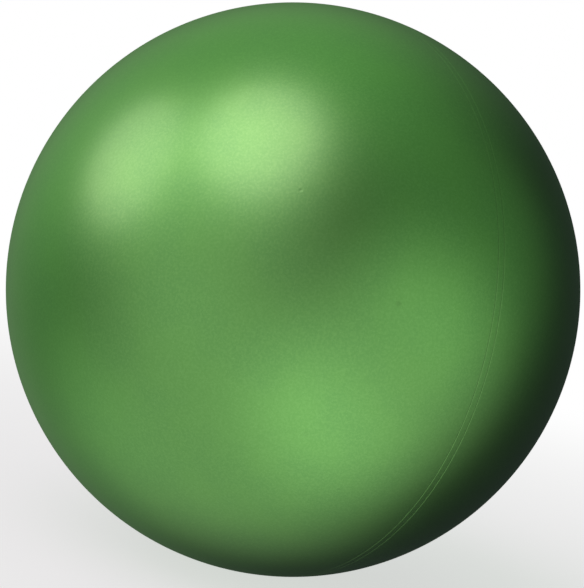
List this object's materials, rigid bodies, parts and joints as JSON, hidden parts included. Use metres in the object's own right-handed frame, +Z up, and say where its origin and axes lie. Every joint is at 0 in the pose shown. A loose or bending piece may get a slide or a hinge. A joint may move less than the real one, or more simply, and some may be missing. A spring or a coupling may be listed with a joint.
{
  "type": "playground ball",
  "caption": "Round inflatable rubber playground ball with a smooth metallic green cover, a narrow seam strip and a recessed needle valve.",
  "frame": {"origin": "centre of the ball", "axes": "+X out through the needle valve, +Z up, and the seam runs round the YZ plane"},
  "size_m": [0.2158, 0.216, 0.216],
  "materials": {
    "cover_rubber": "satin",
    "strip_rubber": "satin",
    "nylon_thread": "matte",
    "bladder_rubber": "matte",
    "tape_rubber": "matte",
    "valve_rubber": "satin",
    "patch_fabric": "matte",
    "core_rubber": "satin"
  },
  "bodies": {
    "ball": {"cover_valve_half": "cover_rubber", "cover_plain_half": "cover_rubber", "seam_strip": "strip_rubber", "thread_winding": "nylon_thread", "bladder_valve_half": "bladder_rubber", "bladder_plain_half": "bladder_rubber", "bladder_seam_tape": "tape_rubber", "valve_body": "valve_rubber", "valve_patch": "patch_fabric"},
    "valve_core": {"valve_core": "core_rubber"}
  },
  "joints": [
    {"name": "core_pull", "type": "slide", "parent": "ball", "child": "valve_core", "axis": [1, 0, 0], "range_m": [0, 0.02]}
  ]
}
